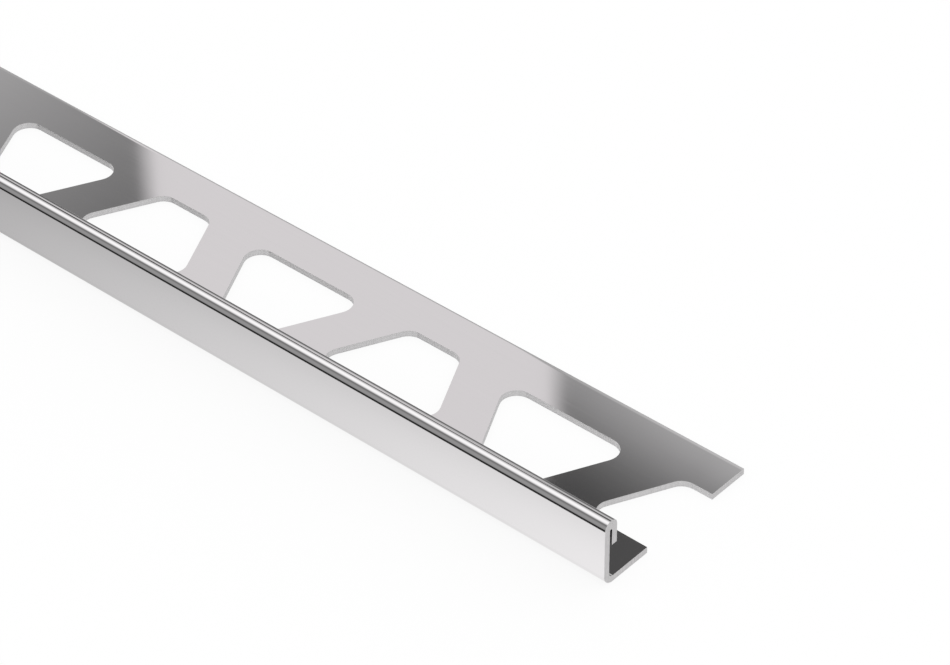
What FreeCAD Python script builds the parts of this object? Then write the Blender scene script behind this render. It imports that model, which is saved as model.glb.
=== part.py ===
import FreeCAD, Part
import math
import os

# Tile edge trim: one strip of stainless sheet, folded into a bedding leg,
# an upright front wall and a hem that is folded down behind the wall's top.
# All sizes are in millimetres.

# The stock
length = 2500.0
sheet = 1.0

# The folded section
height = 11.0
leg_width = 30.0
bend_inside_radius = 0.8
hem_depth = 4.4
hem_slot = 0.45
crown_metal = 1.5

# The holes in the leg
hole_pitch = 25.0
front_strip = 9.0
rear_strip = 7.0
web_along_length = 8.4
side_lean = 0.5
hole_corner_radius = 2.5
corner_side_turn = 22.0

# Worked out from the sizes above
bend_outside_radius = bend_inside_radius + sheet
crown_radius = sheet + hem_slot / 2.0
crown_centre_height = height - crown_radius
slot_end_radius = hem_slot / 2.0
slot_end_centre_height = height - crown_metal - slot_end_radius
hem_edge_height = height - hem_depth
hole_depth = leg_width - front_strip - rear_strip
hole_mean_width = hole_pitch - web_along_length
hole_wide_side = hole_mean_width + side_lean * hole_depth
hole_narrow_side = hole_mean_width - side_lean * hole_depth
cut_clearance = sheet


def middle_of_arc(centre_y, centre_z, radius, angle):
    turn = math.radians(angle)
    return (centre_y + radius * math.cos(turn), centre_z + radius * math.sin(turn))


def make_section():
    # The outline across the strip, with the wall's outer face at y = 0 and
    # the underside at z = 0. Each step is a line or an arc to the next point.
    bend_centre = bend_outside_radius
    return_outer = 2.0 * crown_radius
    return_inner = sheet + hem_slot
    bend_top = sheet + bend_inside_radius
    steps = [
        ("line", (bend_centre, 0.0)),
        ("arc", (0.0, bend_centre),
         middle_of_arc(bend_centre, bend_centre, bend_outside_radius, 225.0)),
        ("line", (0.0, crown_centre_height)),
        ("arc", (return_outer, crown_centre_height),
         middle_of_arc(crown_radius, crown_centre_height, crown_radius, 90.0)),
        ("line", (return_outer, hem_edge_height)),
        ("line", (return_inner, hem_edge_height)),
        ("line", (return_inner, slot_end_centre_height)),
        ("arc", (sheet, slot_end_centre_height),
         middle_of_arc(sheet + slot_end_radius, slot_end_centre_height, slot_end_radius, 90.0)),
        ("line", (sheet, bend_top)),
        ("arc", (bend_top, sheet),
         middle_of_arc(bend_centre, bend_centre, bend_inside_radius, 225.0)),
        ("line", (leg_width, sheet)),
        ("line", (leg_width, 0.0)),
    ]
    here = FreeCAD.Vector(0, leg_width, 0)
    edges = []
    for step in steps:
        there = FreeCAD.Vector(0, *step[1])
        if step[0] == "arc":
            edges.append(Part.Arc(here, FreeCAD.Vector(0, *step[2]), there).toShape())
        else:
            edges.append(Part.LineSegment(here, there).toShape())
        here = there
    return Part.Face(Part.Wire(edges))


def round_corner(before, corner, after):
    # The points of one rounded corner: an arc that touches both sides, drawn in
    # short straight sides, because the stock has some four hundred such corners.
    to_before = (before - corner).normalize()
    to_after = (after - corner).normalize()
    inward = (to_before + to_after).normalize()
    half_angle = to_before.getAngle(to_after) / 2.0
    setback = hole_corner_radius / math.tan(half_angle)
    arc_depth = hole_corner_radius / math.sin(half_angle) - hole_corner_radius
    arc = Part.Arc(corner + to_before * setback, corner + inward * arc_depth,
                   corner + to_after * setback)
    turn = 180.0 - 2.0 * math.degrees(half_angle)
    sides = max(2, round(turn / corner_side_turn))
    return arc.toShape().discretize(Number=sides + 1)


def make_hole_cutter():
    # A trapezoid with its narrow side to the front and its four corners rounded.
    front = front_strip
    back = leg_width - rear_strip
    corners = [
        FreeCAD.Vector(-hole_narrow_side / 2.0, front, -cut_clearance),
        FreeCAD.Vector(hole_narrow_side / 2.0, front, -cut_clearance),
        FreeCAD.Vector(hole_wide_side / 2.0, back, -cut_clearance),
        FreeCAD.Vector(-hole_wide_side / 2.0, back, -cut_clearance),
    ]
    points = []
    for here, corner in enumerate(corners):
        points += round_corner(corners[here - 1], corner, corners[(here + 1) % len(corners)])
    outline = Part.makePolygon(points + points[:1])
    return Part.Face(outline).extrude(FreeCAD.Vector(0, 0, sheet + 2.0 * cut_clearance))


def make_hole_row():
    # Every second hole is turned end for end, so slanting webs of one width
    # are left between them. The row is centred on the middle of the stock.
    narrow_front = make_hole_cutter()
    narrow_back = narrow_front.copy()
    middle_y = (front_strip + leg_width - rear_strip) / 2.0
    narrow_back.rotate(FreeCAD.Vector(0, middle_y, 0), FreeCAD.Vector(0, 0, 1), 180)
    reach = math.ceil(length / 2.0 / hole_pitch)
    row = []
    for number in range(-reach, reach + 1):
        cutter = (narrow_front if number % 2 else narrow_back).copy()
        cutter.translate(FreeCAD.Vector(number * hole_pitch, 0, 0))
        row.append(cutter)
    return row


def make_trim():
    section = make_section()
    section.translate(FreeCAD.Vector(-length / 2.0, 0, 0))
    strip = section.extrude(FreeCAD.Vector(length, 0, 0))
    trim = strip.cut(make_hole_row())
    # The finished piece stands on its underside, centred in length and width.
    trim.translate(FreeCAD.Vector(0, -leg_width / 2.0, 0))
    return trim.Solids[0] if len(trim.Solids) == 1 else trim


os.makedirs("parts", exist_ok=True)
edge_trim = make_trim()
edge_trim.exportStep("parts/edge_trim.step")
box = edge_trim.BoundBox
print("edge_trim solids", len(edge_trim.Solids), "valid", edge_trim.isValid())
print("size", round(box.XLength, 3), round(box.YLength, 3), round(box.ZLength, 3))
print("volume mm3", round(edge_trim.Volume, 1), "hole sides", hole_wide_side, hole_narrow_side)
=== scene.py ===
import math

import bpy
import numpy as np
from mathutils import Matrix, Vector


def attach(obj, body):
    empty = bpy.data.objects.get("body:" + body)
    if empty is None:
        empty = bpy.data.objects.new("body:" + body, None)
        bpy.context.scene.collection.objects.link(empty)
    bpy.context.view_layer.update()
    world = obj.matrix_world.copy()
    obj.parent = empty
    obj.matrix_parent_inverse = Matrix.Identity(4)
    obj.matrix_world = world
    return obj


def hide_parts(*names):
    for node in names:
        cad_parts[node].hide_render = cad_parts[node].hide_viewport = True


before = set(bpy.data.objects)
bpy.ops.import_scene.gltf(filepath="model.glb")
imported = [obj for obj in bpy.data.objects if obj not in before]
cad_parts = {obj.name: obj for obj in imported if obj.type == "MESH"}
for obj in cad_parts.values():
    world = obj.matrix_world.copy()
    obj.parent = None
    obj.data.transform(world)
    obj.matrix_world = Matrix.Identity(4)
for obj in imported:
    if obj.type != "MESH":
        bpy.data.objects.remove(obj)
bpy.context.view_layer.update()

print("frame loaded")

millimetre = 0.001     # in metres
micron = 0.000001

# The trim in millimetres, as the solid has it, the small edges that the cutting leaves, and how
# many flats stand for each curve
trim = {
    "length": 2500.0,
    "sheet": 1.0,
    "height": 11.0,
    "legWidth": 30.0,
    "bendInside": 0.8,
    "hemDepth": 4.4,
    "hemSlot": 0.45,
    "crownMetal": 1.5,         # from the slot's end to the top
    "pitch": 25.0,
    "frontStrip": 9.0,
    "rearStrip": 7.0,
    "webAlong": 8.4,           # a web's width, measured along the stock
    "sideLean": 0.5,           # how far a hole's side leans for each millimetre across the leg
    "cornerRadius": 2.5,
    "crownLead": 0.03,         # how far below the crown the fold eases in
    "holeEdge": 0.01,          # rounding of the punched edges
    "sawEdge": 0.015,          # rounding of the two cut ends
    "hemEdge": 0.08,           # rounding of the hem's free edge
    "slitEdge": 0.1,           # rounding of the leg's slit edge
    "slitRun": 0.6,            # how far in the slit edge rolls over
    "slitDrop": 0.012,         # and how far it sinks
    "wideCornerSteps": 5,      # flats round a blunt corner of a hole
    "sharpCornerSteps": 9,     # and round a sharp one
    "bendSteps": 14,
    "crownSteps": 28,
    "slotSteps": 8,
    "hemEdgeSteps": 3,
    "rollSteps": 6,
    "slitEdgeSteps": 4,
    "slitFootSteps": 3,
    "sawSteps": 3,
}


def arcPart(centreY, centreZ, radius, fromAngle, toAngle, steps):
    # Points on a circle: centre + radius * (cos a, sin a), with a running evenly between the two
    # angles. The normal is the radius direction, turned round where radius is negative.
    angle = np.radians(np.linspace(fromAngle, toAngle, steps + 1))
    ring = np.stack([np.cos(angle), np.sin(angle)], axis=1)
    return np.array([centreY, centreZ]) + abs(radius) * ring, np.sign(radius) * ring


def joinParts(parts):
    # One path of (y, z) points with their normals, made of the parts laid end to end
    return np.concatenate([p[0] for p in parts]), np.concatenate([p[1] for p in parts])


def foldedPath(t):
    # The section from the leg's underside round the bend, up the wall, over the crown, down the
    # return, up the slot, down the wall's inner side and round the inner bend to the leg's top:
    # arcs laid end to end, with the flats between them left to the faces that join them
    outer = t["bendInside"] + t["sheet"]
    crown = t["sheet"] + t["hemSlot"] / 2
    crownZ = t["height"] - crown
    edge = t["hemEdge"]
    freeZ = t["height"] - t["hemDepth"] + edge
    slot = t["hemSlot"] / 2
    slotZ = t["height"] - t["crownMetal"] - slot
    over = arcPart(crown, crownZ, crown, 180, 0, t["crownSteps"])
    over[0][0, 1] -= t["crownLead"]     # the crown's first point sinks down the wall's face
    return joinParts([
        arcPart(outer, outer, outer, 270, 180, t["bendSteps"]),
        over,
        arcPart(2 * crown - edge, freeZ, edge, 0, -90, t["hemEdgeSteps"]),
        arcPart(t["sheet"] + 2 * slot + edge, freeZ, edge, -90, -180, t["hemEdgeSteps"]),
        arcPart(crown, slotZ, -slot, 0, 180, t["slotSteps"]),
        arcPart(outer, outer, -t["bendInside"], 180, 270, t["bendSteps"]),
    ])


def slitPath(t):
    # The leg's rear edge from its top to its underside. The top sinks as drop * (s / run) squared
    # over the last run millimetres, so its slope is 2 * drop * s / run squared, then turns down
    # through an arc that starts at that slope. The foot is an arc of half that radius.
    run, edge = t["slitRun"], t["slitEdge"]
    s = np.linspace(0, run - edge, t["rollSteps"] + 1)
    slope = 2 * t["slitDrop"] * s / run ** 2
    top = np.stack([t["legWidth"] - run + s, t["sheet"] - t["slitDrop"] * (s / run) ** 2], axis=1)
    normal = np.stack([slope, np.ones_like(s)], axis=1)
    normal /= np.linalg.norm(normal, axis=1, keepdims=True)
    lean = math.degrees(math.atan(slope[-1]))
    shoulder = arcPart(0, 0, edge, 90 - lean, 0, t["slitEdgeSteps"])
    moved = shoulder[0] - shoulder[0][0] + top[-1]
    moved[:, 0] += t["legWidth"] - moved[-1, 0]
    foot = arcPart(t["legWidth"] - edge / 2, edge / 2, edge / 2, 0, -90, t["slitFootSteps"])
    last = (np.array([[t["legWidth"] - run, 0.0]]), np.array([[0.0, -1.0]]))
    return joinParts([(top, normal), (moved[1:], shoulder[1][1:]), foot, last])


def holeRing(t, corners):
    # A closed outline with rounded corners, anticlockwise from above. Each corner is an arc of
    # radius r, whose centre lies r / sin(half the corner's angle) in from the sharp corner. With
    # each point come its outward direction in the plane and the number of its corner.
    count = len(corners)
    points, outward, owner = [], [], []
    for i in range(count):
        here = corners[i]
        back = corners[i - 1] - here
        ahead = corners[(i + 1) % count] - here
        back = back / np.linalg.norm(back)
        ahead = ahead / np.linalg.norm(ahead)
        half = math.acos(float(back @ ahead)) / 2
        middle = (back + ahead) / np.linalg.norm(back + ahead)
        centre = here + middle * t["cornerRadius"] / math.sin(half)
        first = math.atan2(back[0], -back[1])       # the side's outward direction
        steps = t["sharpCornerSteps"] if half < math.pi / 4 else t["wideCornerSteps"]
        angle = first + np.linspace(0, math.pi - 2 * half, steps + 1)
        ring = np.stack([np.cos(angle), np.sin(angle)], axis=1)
        points.append(centre + t["cornerRadius"] * ring)
        outward.append(ring)
        owner.append(np.full(steps + 1, i))
    return np.concatenate(points), np.concatenate(outward), np.concatenate(owner)


def legRows(t, ring, outward, cell):
    # The skin of the leg round one hole, from the cell's outer line on top, in to the hole, down
    # its wall and out again below. At the hole's edge, with angle a: back from the wall by
    # edge * (1 - sin a), down by edge * (1 - cos a), and the normal turns from straight up to
    # straight into the hole.
    edge = t["holeEdge"]
    zero = np.zeros((len(ring), 1))
    up = np.concatenate([np.zeros_like(ring), zero + 1], axis=1)
    away = np.concatenate([outward, zero], axis=1)
    rows, normals = [np.concatenate([cell, zero + t["sheet"]], axis=1)], [up]
    for side in (1, -1):
        for angle in np.radians([0, 90] if side > 0 else [90, 0]):
            flat = ring + outward * edge * (1 - math.sin(angle))
            down = edge * (1 - math.cos(angle))
            z = t["sheet"] - down if side > 0 else down
            rows.append(np.concatenate([flat, zero + z], axis=1))
            normals.append(side * math.cos(angle) * up - math.sin(angle) * away)
    rows.append(np.concatenate([cell, zero], axis=1))
    normals.append(-up)
    return np.stack(rows), np.stack(normals)


def gridFaces(rows, columns, closed=False):
    # Four corner numbers for each cell of a rows x columns grid of points
    grid = np.arange(rows * columns).reshape(rows, columns)
    after = np.roll(grid, -1, axis=1)
    if not closed:
        grid, after = grid[:, :-1], after[:, :-1]
    quads = np.stack([grid[:-1], grid[1:], after[1:], after[:-1]], axis=-1)
    return quads.reshape(-1, 4)


class Skin:
    # Collects grids of points, then welds the points that coincide
    weldsPerMillimetre = 1e5

    def __init__(self):
        self.points, self.normals, self.faces, self.marks, self.caps = [], [], [], [], []
        self.count = 0

    def add(self, points, normals, faces, marks):
        # Keeps one grid, and gives the number that its first point has got
        self.points.append(points.reshape(-1, 3))
        self.normals.append(normals.reshape(-1, 3))
        self.faces.append(faces + self.count)
        self.marks.append(np.broadcast_to(marks, len(faces)))
        start = self.count
        self.count += len(self.points[-1])
        return start

    def mesh(self, name):
        # Points that round to the same place become one. A face with two neighbouring corners
        # in one place becomes a triangle, and a face with more of them is dropped.
        points = np.concatenate(self.points)
        normals = np.concatenate(self.normals)
        key = np.round(points * self.weldsPerMillimetre).astype(np.int64)
        _, first, number = np.unique(key, axis=0, return_index=True, return_inverse=True)
        number = number.reshape(-1)
        quads = number[np.concatenate(self.faces)]
        marks = np.concatenate(self.marks)
        same = quads == np.roll(quads, -1, axis=1)
        pairs = same.sum(axis=1)
        faces = quads[pairs == 0].tolist()
        faceMarks = marks[pairs == 0]
        for corner in range(4):
            narrow = (pairs == 1) & same[:, corner]
            rest = [c for c in range(4) if c != corner]
            faces += quads[narrow][:, rest].tolist()
            faceMarks = np.append(faceMarks, marks[narrow])
        for cap, mark in self.caps:
            faces.append(number[cap].tolist())
            faceMarks = np.append(faceMarks, mark)
        mesh = bpy.data.meshes.new(name)
        mesh.from_pydata((points[first] * millimetre).tolist(), [], faces)
        mesh.polygons.foreach_set("material_index", faceMarks.astype(np.int32))
        mesh.polygons.foreach_set("use_smooth", np.ones(len(faces), dtype=bool))
        mesh.update()
        mesh.normals_split_custom_set_from_vertices(normals[first].tolist())
        return mesh


# The surfaces, in the order of the mesh's materials
plain, sheared, punched = 0, 1, 2


def sawnEnd(t, outline):
    # One cut end of a closed outline: it shrinks by saw * (1 - cos a) as it runs out to
    # saw * sin a, and its normals turn from the outline's own to straight along the stock
    line, lineNormals = outline
    saw = t["sawEdge"]
    angle = np.radians(np.linspace(0, 90, t["sawSteps"] + 1))[:, None]
    points = np.zeros((len(angle), len(line), 3))
    points[..., 0] = t["length"] / 2 - saw + saw * np.sin(angle)
    points[..., 1:] = line - lineNormals * saw * (1 - np.cos(angle))[..., None]
    normals = np.zeros_like(points)
    normals[..., 0] = np.sin(angle)
    normals[..., 1:] = lineNormals * np.cos(angle)[..., None]
    return points, normals


def buildTrim(t):
    # Everything is worked out with the wall's outer face at y = 0, then centred in width
    skin = Skin()
    half = t["length"] / 2
    saw = t["sawEdge"]
    faceX = half - saw                       # where the saw cut's rounding starts
    front, back = t["frontStrip"], t["legWidth"] - t["rearStrip"]     # the hole row's two sides
    middleY = (front + back) / 2
    frontY = t["bendInside"] + t["sheet"]    # where the bend ends and the flat leg starts
    rearY = t["legWidth"] - t["slitRun"]     # where the slit edge starts to roll over
    meanWidth = t["pitch"] - t["webAlong"]
    rise = t["sideLean"] * (middleY - front)     # what the lean adds by the row's edge
    reach = round(half / t["pitch"])
    flipped = [0, 3, 2, 1]                   # a face's corners, taken the other way round
    straight = 1.99                          # two unit normals along one axis add up to more

    def webHalf(y, turned):
        # Half of one hole's cell at y, out to the middle lines of the webs beside it:
        # half the pitch, plus or minus the lean times the distance from the middle of the row
        return t["pitch"] / 2 + (-1 if turned else 1) * t["sideLean"] * (y - middleY)

    def corners(turned):
        # The hole's sharp corners and its cell's, in the same order, anticlockwise from above.
        # Half a side of the hole is half the mean width, less or more by the rise.
        narrow, wide = meanWidth / 2 - rise, meanWidth / 2 + rise
        low, high = (wide, narrow) if turned else (narrow, wide)
        hole = np.array([[-low, front], [low, front], [high, back], [-high, back]])
        near, far = webHalf(frontY, turned), webHalf(rearY, turned)
        cell = np.array([[-near, frontY], [near, frontY], [far, rearY], [-far, rearY]])
        return hole, cell

    def wallMarks(faces, rows):
        # The middle band of rows is the punched wall
        return np.where(faces[:, 0] // rows.shape[1] == rows.shape[0] // 2 - 1, punched, plain)

    # The leg round the whole holes: two kinds, each repeated along the stock
    for turned in (False, True):
        hole, cell = corners(turned)
        ring, outward, owner = holeRing(t, hole)
        rows, normals = legRows(t, ring, outward, cell[owner])
        numbers = np.arange(-reach + 1, reach)
        numbers = numbers[(numbers % 2 == 0) == turned]
        shift = np.zeros((len(numbers), 1, 1, 3))
        shift[:, 0, 0, 0] = numbers * t["pitch"]
        faces = gridFaces(rows.shape[0], rows.shape[1], closed=True)
        everyFace = faces[None] + (np.arange(len(numbers)) * rows[..., 0].size)[:, None, None]
        # the ring runs anticlockwise, so the faces are flipped to look outwards
        everyFace = everyFace.reshape(-1, 4)[:, flipped]
        everyNormal = np.broadcast_to(normals[None], (len(numbers),) + normals.shape)
        skin.add(rows[None] + shift, everyNormal, everyFace,
                 np.tile(wallMarks(faces, rows), len(numbers)))

    # The two half holes, where the stock is cut through the middle of one
    hole, cell = corners(True)
    ring, outward, owner = holeRing(t, hole)
    keep = ring[:, 0] < -saw
    order = np.concatenate([np.flatnonzero(keep & (owner == corner)) for corner in (3, 0)])
    halfRing = np.concatenate([[[-saw, back]], ring[order], [[-saw, front]]])
    halfOut = np.concatenate([[[0.0, 1.0]], outward[order], [[0.0, -1.0]]])
    halfCell = np.concatenate([[[-saw, rearY]], cell[owner[order]], [[-saw, frontY]]])
    rows, normals = legRows(t, halfRing, halfOut, halfCell)
    faces = gridFaces(rows.shape[0], rows.shape[1])
    marks = wallMarks(faces, rows)
    for end in (1, -1):
        turn = np.array([end, 1, 1])
        placed = rows * turn + np.array([end * half, 0, 0])
        skin.add(placed, normals * turn, faces[:, flipped] if end > 0 else faces, marks)

    # The folded front and the slit rear edge, carried along the stock from web to web
    stations = np.arange(-reach, reach + 1)
    odd = stations[stations % 2 != 0] * t["pitch"]
    for (line, lineNormals), y in ((foldedPath(t), frontY), (slitPath(t), rearY)):
        web = webHalf(y, False)
        along = np.sort(np.concatenate([odd - web, odd + web, [-faceX, faceX]]))
        points = np.zeros((len(along), len(line), 3))
        points[..., 0] = along[:, None]
        points[..., 1:] = line
        normals = np.zeros_like(points)
        normals[..., 1:] = lineNormals
        faces = gridFaces(len(along), len(line))
        twice = lineNormals[:-1] + lineNormals[1:]
        if y == frontY:      # the hem's free edge looks straight down, well above the leg
            cut = (twice[:, 1] < -straight) & (line[:-1, 1] > t["sheet"])
        else:                # the slit face looks straight back
            cut = twice[:, 0] > straight
        skin.add(points, normals, faces, np.where(cut[faces[:, 0] % len(line)], sheared, plain))

    # The saw-cut ends, in two closed outlines: the folded front with its strip of leg, and the
    # leg's rear strip. Each gets its rounded edge and a flat face that closes it.
    edge = t["holeEdge"]
    frontOutline = joinParts([
        foldedPath(t),
        arcPart(front - edge, t["sheet"] - edge, edge, 90, 0, 1),
        arcPart(front - edge, edge, edge, 0, -90, 1),
    ])
    rearOutline = joinParts([
        slitPath(t),
        arcPart(back + edge, edge, edge, -90, -180, 1),
        arcPart(back + edge, t["sheet"] - edge, edge, 180, 90, 1),
    ])
    for outline in (frontOutline, rearOutline):
        points, normals = sawnEnd(t, outline)
        rings, around = points.shape[:2]
        faces = gridFaces(rings, around, closed=True)
        for end in (1, -1):
            turn = np.array([end, 1, 1])
            outwards = faces if end > 0 else faces[:, flipped]
            start = skin.add(points * turn, normals * turn, outwards, sheared)
            cap = start + (rings - 1) * around + np.arange(around)
            skin.caps.append((cap[::-1] if end > 0 else cap, sheared))

    skin.points = [p - np.array([0, t["legWidth"] / 2, 0]) for p in skin.points]
    return skin.mesh("edgeTrim")


class Graph:
    # A node tree, with short ways to add one step to it. A value is a number or a socket.
    rampFull = 2.0      # the brightness that stands for 1 in a colour ramp

    def __init__(self, tree):
        self.tree = tree

    def node(self, kind, **settings):
        # One new node with its settings
        made = self.tree.nodes.new(kind)
        for key, value in settings.items():
            setattr(made, key, value)
        return made

    def feed(self, socket, value):
        # A socket is linked, and a number is typed in
        if isinstance(value, bpy.types.NodeSocket):
            self.tree.links.new(value, socket)
        else:
            socket.default_value = value

    def math(self, operation, first, second=0.0):
        # One sum with two values
        step = self.node("ShaderNodeMath", operation=operation)
        self.feed(step.inputs[0], first)
        self.feed(step.inputs[1], second)
        return step.outputs[0]

    def product(self, *values):
        # All the values multiplied together
        total = values[0]
        for value in values[1:]:
            total = self.math("MULTIPLY", total, value)
        return total

    def span(self, value, start, end, low=0.0, high=1.0, kind="SMOOTHSTEP"):
        # low up to start and high past end, with a smooth or straight step between them. Where
        # end is the smaller of the two, it is low above start and high below end.
        step = self.node("ShaderNodeMapRange", interpolation_type=kind, clamp=True)
        if end < start:
            start, end, low, high = end, start, high, low
        limits = {"From Min": start, "From Max": end, "To Min": low, "To Max": high}
        for name, number in limits.items():
            step.inputs[name].default_value = number
        self.feed(step.inputs["Value"], value)
        return step.outputs["Result"]

    def mixed(self, share, first, second):
        # first * (1 - share) + second * share
        step = self.node("ShaderNodeMix", data_type="FLOAT")
        for number, value in ((0, share), (2, first), (3, second)):
            self.feed(step.inputs[number], value)
        return step.outputs[0]

    def ramp(self, value, stops):
        # Straight lines between the stops, level beyond the first and the last. A colour ramp
        # holds no more than 1, so brightness goes in divided by rampFull and comes out multiplied.
        low, high = stops[0][0], stops[-1][0]
        step = self.node("ShaderNodeValToRGB")
        elements = step.color_ramp.elements
        for i in range(len(stops) - 2):
            elements.new((i + 1) / (len(stops) - 1))
        for element, (place, bright) in zip(elements, stops):
            level = bright / self.rampFull
            element.position = (place - low) / (high - low)
            element.color = (level, level, level, 1)
        share = self.math("DIVIDE", self.math("SUBTRACT", value, low), high - low)
        self.feed(step.inputs[0], share)
        return self.math("MULTIPLY", step.outputs[0], self.rampFull)

    def noise(self, place, perMetre, detail=2.0):
        # Noise of 0 to 1 at place, with perMetre repeats along each axis
        scaled = self.node("ShaderNodeVectorMath", operation="MULTIPLY")
        self.feed(scaled.inputs[0], place)
        scaled.inputs[1].default_value = perMetre
        step = self.node("ShaderNodeTexNoise")
        self.feed(step.inputs["Vector"], scaled.outputs[0])
        step.inputs["Scale"].default_value = 1.0
        step.inputs["Detail"].default_value = detail
        return step.outputs[0]


def steel(name, look):
    # Steel with a grain: the grain's noise moves the roughness between two values, lightens and
    # darkens the colour by the share shade, and waves lift the surface by up to liftMicrons
    grainSpan = (0.3, 0.7)      # most of the noise lies between these
    material = bpy.data.materials.new(name)
    material.use_nodes = True
    graph = Graph(material.node_tree)
    shader = material.node_tree.nodes["Principled BSDF"]
    place = graph.node("ShaderNodeTexCoord").outputs["Object"]
    grain = graph.noise(place, look["grainPerMetre"])
    roughness = graph.span(grain, *grainSpan, *look["roughness"], kind="LINEAR")
    if "land" in look:
        # the punch leaves a smooth land along the top, with a wandering lower edge
        split = graph.node("ShaderNodeSeparateXYZ")
        graph.feed(split.inputs[0], place)
        middle = sum(grainSpan) / 2
        wander = graph.product(graph.math("SUBTRACT", grain, middle), look["landWander"])
        height = graph.math("ADD", split.outputs[2], wander)
        land = graph.span(height, look["land"] - look["landEdge"], look["land"] + look["landEdge"])
        roughness = graph.mixed(land, roughness, look["landRoughness"])
    graph.feed(shader.inputs["Roughness"], roughness)
    bump = graph.node("ShaderNodeBump")
    bump.inputs["Strength"].default_value = 1.0
    bump.inputs["Distance"].default_value = look["liftMicrons"] * micron
    graph.feed(bump.inputs["Height"], graph.noise(place, look["wavesPerMetre"]))
    graph.feed(shader.inputs["Normal"], bump.outputs[0])
    shade = graph.span(grain, *grainSpan, 1 - look["shade"], 1 + look["shade"], kind="LINEAR")
    colour = graph.node("ShaderNodeVectorMath", operation="SCALE")
    colour.inputs[0].default_value = look["colour"]
    graph.feed(colour.inputs["Scale"], shade)
    graph.feed(shader.inputs["Base Color"], colour.outputs[0])
    shader.inputs["Metallic"].default_value = look["metallic"]
    return material


# The rolled and polished faces: streaks along the stock and very shallow waves
polishedLook = {
    "colour": (0.748, 0.733, 0.740),
    "metallic": 1.0,
    "shade": 0.006,
    "roughness": (0.031, 0.039),
    "grainPerMetre": (30, 2500, 2500),
    "wavesPerMetre": (35, 110, 110),
    "liftMicrons": 1.5,
}
# The slit, sawn and folded-in edges
shearedLook = {
    "colour": (0.694, 0.681, 0.686),
    "metallic": 0.5,
    "shade": 0.06,
    "roughness": (0.26, 0.40),
    "grainPerMetre": (400, 6000, 900),
    "wavesPerMetre": (2500, 6000, 1200),
    "liftMicrons": 2.0,
}
# The punched walls of the holes, with marks that run down the wall
punchedLook = {
    "colour": (0.895, 0.883, 0.889),
    "metallic": 0.75,
    "shade": 0.06,
    "roughness": (0.27, 0.39),
    "grainPerMetre": (6000, 6000, 400),
    "wavesPerMetre": (2500, 2500, 300),
    "liftMicrons": 1.2,
    "land": 0.00068,           # the height in metres where the punch's smooth land ends
    "landEdge": 0.00004,
    "landWander": 0.0003,
    "landRoughness": 0.26,
}

trimMesh = buildTrim(trim)
trimObject = bpy.data.objects.new("steel_edge_trim", trimMesh)
bpy.context.scene.collection.objects.link(trimObject)
for name, look in (("polishedSteel", polishedLook), ("shearedSteel", shearedLook),
                   ("punchedSteel", punchedLook)):
    trimMesh.materials.append(steel(name, look))
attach(trimObject, "root")
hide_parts("edge_trim")
print("trim made,", len(trimMesh.polygons), "faces")

# The floor in metres, white to the camera with a little of its own shading left for the shadow
floorLook = {
    "size": 24.0,
    "below": 0.00005,          # how far under the trim it lies
    "shadowShare": 0.12,
    "albedo": 1.0,
}

side = floorLook["size"] / 2
floorCorners = [(-side, -side, 0), (side, -side, 0), (side, side, 0), (-side, side, 0)]
floorMesh = bpy.data.meshes.new("floor")
floorMesh.from_pydata(floorCorners, [], [(0, 1, 2, 3)])
floorMesh.transform(Matrix.Translation((0, 0, -floorLook["below"])))
floor = bpy.data.objects.new("floor", floorMesh)
bpy.context.scene.collection.objects.link(floor)
floorMaterial = bpy.data.materials.new("paleFloor")
floorMaterial.use_nodes = True
floorMaterial.node_tree.nodes.clear()
graph = Graph(floorMaterial.node_tree)
matt = graph.node("ShaderNodeBsdfDiffuse")
albedo = floorLook["albedo"]
matt.inputs["Color"].default_value = (albedo, albedo, albedo, 1)
mix = graph.node("ShaderNodeMixShader")
mix.inputs["Fac"].default_value = floorLook["shadowShare"]
graph.feed(mix.inputs[1], graph.node("ShaderNodeEmission").outputs[0])
graph.feed(mix.inputs[2], matt.outputs[0])
graph.feed(graph.node("ShaderNodeOutputMaterial").inputs["Surface"], mix.outputs[0])
floorMesh.materials.append(floorMaterial)
floor.visible_glossy = False       # the polished steel mirrors the studio instead
print("floor made")

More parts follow.
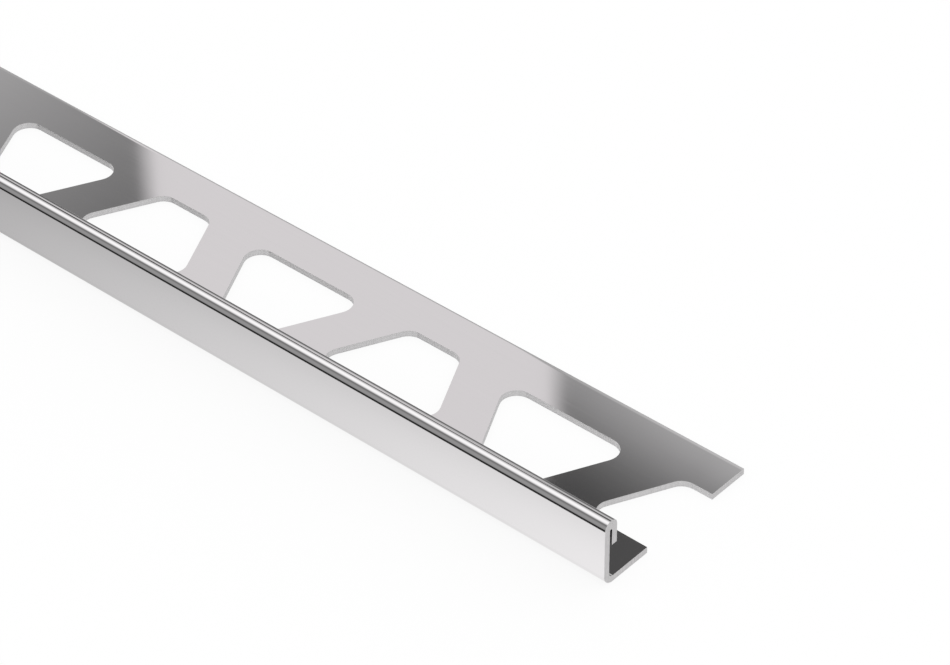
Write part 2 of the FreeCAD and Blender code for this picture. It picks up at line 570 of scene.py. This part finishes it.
# The studio that the steel mirrors. Its angles run round the trim's length: 0 degrees is the
# front, 90 overhead, 180 the back and -90 straight down. Each stop is an angle and how bright the
# studio is there. For fall, behindFall and left it is a lean instead, how far along the trim the
# direction runs for each metre square to it. A pair of numbers starts and ends a soft step.
studio = {
    "floor": [(-180, 0.14), (-150, 0.30), (-133, 0.50), (-128, 0.84), (-110, 1.01), (-90, 1.01),
              (-60, 1.05), (-52, 1.10), (-40, 1.10)],
    "horizon": [(-52, 1.0), (-49.7, 1.0), (-49.35, 0.96), (-49.0, 0.86), (-48.6, 0.45),
                (-48.2, 0.0)],
    "fall": [(-0.86, 0.50), (-0.8155, 0.555), (-0.7029, 0.735), (-0.5811, 0.91),
             (-0.5228, 0.99), (-0.46, 0.99)],
    "above": [(-60, 0.03), (-23, 0.03), (-15, 0.36), (0, 0.37), (12, 0.385), (24, 0.34),
              (34, 0.24), (40, 0.20), (46, 0.29), (52, 0.62), (59, 1.02), (70, 1.25),
              (87, 1.27), (97, 1.04), (106, 0.66), (114, 0.40), (118, 0.10), (145, 0.78),
              (152, 0.62), (159, 0.44), (166, 0.26), (173, 0.18), (180, 0.17)],
    "behind": [(116, 0.15), (118, 0.09), (129, 0.085), (131.3, 0.092), (131.7, 0.136),
               (132.1, 0.20), (132.5, 0.298), (132.9, 0.403), (133.3, 0.49), (134.4, 0.60),
               (140, 0.68), (146, 0.78)],
    "behindFrom": (115.0, 117.0),
    "behindTo": (146.0, 145.0),
    "behindFall": [(-0.60, 0.80), (-0.575, 0.80), (-0.558, 0.825), (-0.545, 0.905),
                   (-0.525, 1.0), (-0.509, 1.05), (-0.49, 1.03)],
    "left": [(-0.87, 0.475), (-0.76, 0.215)],
    "leftRise": (120.0, 140.0, -0.125, 1.675),     # two angles, and what left is times at each
    "panel": (0.853, 0.836, 0.843),
    "panelRight": (39.60, 40.04),   # the compass angles of the panel's two upright edges
    "panelLeft": (48.20, 48.64),
    "panelRise": (124.0, 126.0),
    "panelTop": (147.5, 144.0),
    "panelFoot": 132.0,             # below this angle its right edge draws in
    "panelFootLean": 0.49,          # by so many degrees for each degree
    "panelHead": 133.2,             # above this one it leans out a little again
    "panelHeadLean": 0.2,
    "railFrom": (135.2, 136.4),     # a gap across the panel, at the height of its rail
    "railTo": (138.2, 137.4),
    "plain": [(-180, 0.33), (-145, 0.46), (-120, 0.48), (-100, 0.46), (-70, 0.46), (-48, 0.50),
              (-30, 0.44), (-12, 0.36), (0, 0.15), (10, 0.28), (55, 0.62), (90, 0.52),
              (125, 0.60), (170, 0.25), (180, 0.35)],
    "setFrom": (-1.15, -0.95),      # the set for the picture stands between these two leans
    "setTo": (-0.30, -0.42),
}

world = bpy.data.worlds.new("studio")
bpy.context.scene.world = world
world.use_nodes = True
world.node_tree.nodes.clear()
graph = Graph(world.node_tree)
calc = graph.math

# the direction's angle round the length, its lean and its compass angle
direction = graph.node("ShaderNodeTexCoord").outputs["Generated"]
split = graph.node("ShaderNodeSeparateXYZ")
graph.feed(split.inputs[0], direction)
dx, dy, dz = split.outputs
degrees = 180 / math.pi
roundAngle = graph.product(calc("ARCTAN2", dz, graph.product(dy, -1.0)), degrees)
across = calc("SQRT", calc("ADD", graph.product(dy, dy), graph.product(dz, dz)))
lean = calc("DIVIDE", dx, across)
heading = graph.product(calc("ARCTAN2", graph.product(dx, -1.0), dy), degrees)

# the lit floor ends at a soft horizon and fades towards the far left
floorLight = graph.product(graph.ramp(roundAngle, studio["floor"]),
                           graph.ramp(lean, studio["fall"]))
light = graph.mixed(graph.ramp(roundAngle, studio["horizon"]),
                    graph.ramp(roundAngle, studio["above"]), floorLight)

# behind, the studio brightens along the trim and with height
behind = graph.product(graph.ramp(roundAngle, studio["behind"]),
                       graph.ramp(lean, studio["behindFall"]))
atBack = graph.product(graph.span(roundAngle, *studio["behindFrom"]),
                       graph.span(roundAngle, *studio["behindTo"]))
light = graph.mixed(atBack, light, behind)

# a pale panel stands there between two upright edges, and on its left a dark wall
rail = graph.product(graph.span(roundAngle, *studio["railFrom"]),
                     graph.span(roundAngle, *studio["railTo"]))
atPanel = graph.product(graph.span(roundAngle, *studio["panelRise"]),
                        graph.span(roundAngle, *studio["panelTop"]),
                        calc("SUBTRACT", 1.0, rail))
footLean = calc("MAXIMUM", calc("SUBTRACT", studio["panelFoot"], roundAngle), 0.0)
rightHeading = calc("SUBTRACT", heading, graph.product(footLean, studio["panelFootLean"]))
headLean = calc("MAXIMUM", calc("SUBTRACT", roundAngle, studio["panelHead"]), 0.0)
rightHeading = calc("ADD", rightHeading, graph.product(headLean, studio["panelHeadLean"]))
leftOf = graph.product(graph.span(heading, *studio["panelLeft"], kind="LINEAR"), atPanel)
leftLight = graph.product(graph.ramp(lean, studio["left"]),
                          graph.span(roundAngle, *studio["leftRise"], kind="LINEAR"))
light = graph.mixed(leftOf, light, leftLight)
rightOf = graph.span(rightHeading, *studio["panelRight"], kind="LINEAR")
atPanel = calc("SUBTRACT", graph.product(rightOf, atPanel), leftOf)
atPanel = calc("MAXIMUM", atPanel, 0.0)

# past the set the studio is plain, and what isn't mirrored is lit evenly
inSet = graph.product(graph.span(lean, *studio["setFrom"]), graph.span(lean, *studio["setTo"]))
light = graph.mixed(inSet, graph.ramp(roundAngle, studio["plain"]), light)
ray = graph.node("ShaderNodeLightPath").outputs
even = calc("MAXIMUM", ray["Is Camera Ray"], ray["Is Diffuse Ray"])
light = graph.mixed(even, light, 1.0)
atPanel = graph.product(atPanel, inSet, calc("SUBTRACT", 1.0, even))
tint = graph.node("ShaderNodeMix", data_type="RGBA")
graph.feed(tint.inputs[0], atPanel)
graph.feed(tint.inputs[6], light)
tint.inputs[7].default_value = (*studio["panel"], 1)
background = graph.node("ShaderNodeBackground")
graph.feed(background.inputs["Color"], tint.outputs[2])
graph.feed(graph.node("ShaderNodeOutputWorld").inputs["Surface"], background.outputs[0])
world.cycles.sampling_method = "NONE"
print("studio made")

# The camera, found from the straight edges of the part. It stands distance millimetres back from
# the near bottom corner of the cut end, measured along its view, and its angles are in degrees.
# The picture's measures are in pixels, from the left and from the top.
view = {
    "focalLength": 3373.364,            # in pixels too
    "azimuth": 41.605,
    "elevation": 38.736,
    "roll": -0.581,
    "distance": 443.439,
    "corner": (603.517, 587.276),       # where that corner lies in the picture
    "centre": (474.5, 332.0),
    "pictureWidth": 950,
    "sensorWidth": 36,                  # the camera's sensor in millimetres
}

azimuth, elevation, roll = (math.radians(view[k]) for k in ("azimuth", "elevation", "roll"))
right = Vector((math.cos(azimuth), math.sin(azimuth), 0))
up = Vector((-math.sin(elevation) * math.sin(azimuth), math.sin(elevation) * math.cos(azimuth),
             math.cos(elevation)))
towards = right.cross(up)
levelRight, levelUp = right, up
right = levelRight * math.cos(roll) + levelUp * math.sin(roll)
up = levelUp * math.cos(roll) - levelRight * math.sin(roll)
corner = Vector((trim["length"] / 2, -trim["legWidth"] / 2, 0))
perPixel = view["distance"] / view["focalLength"]     # millimetres at the corner's distance
cornerRight, cornerDown = (a - b for a, b in zip(view["corner"], view["centre"]))
place = corner + towards * view["distance"]
place = place - right * cornerRight * perPixel
place = place + up * cornerDown * perPixel
cameraData = bpy.data.cameras.new("camera")
cameraData.sensor_width = view["sensorWidth"]
cameraData.lens = view["sensorWidth"] * view["focalLength"] / view["pictureWidth"]
camera = bpy.data.objects.new("camera", cameraData)
bpy.context.scene.collection.objects.link(camera)
turned = Matrix((right, up, towards)).transposed().to_4x4()
camera.matrix_world = Matrix.Translation(place * millimetre) @ turned
bpy.context.scene.camera = camera
bpy.context.scene.view_settings.view_transform = "Standard"
print("camera placed")
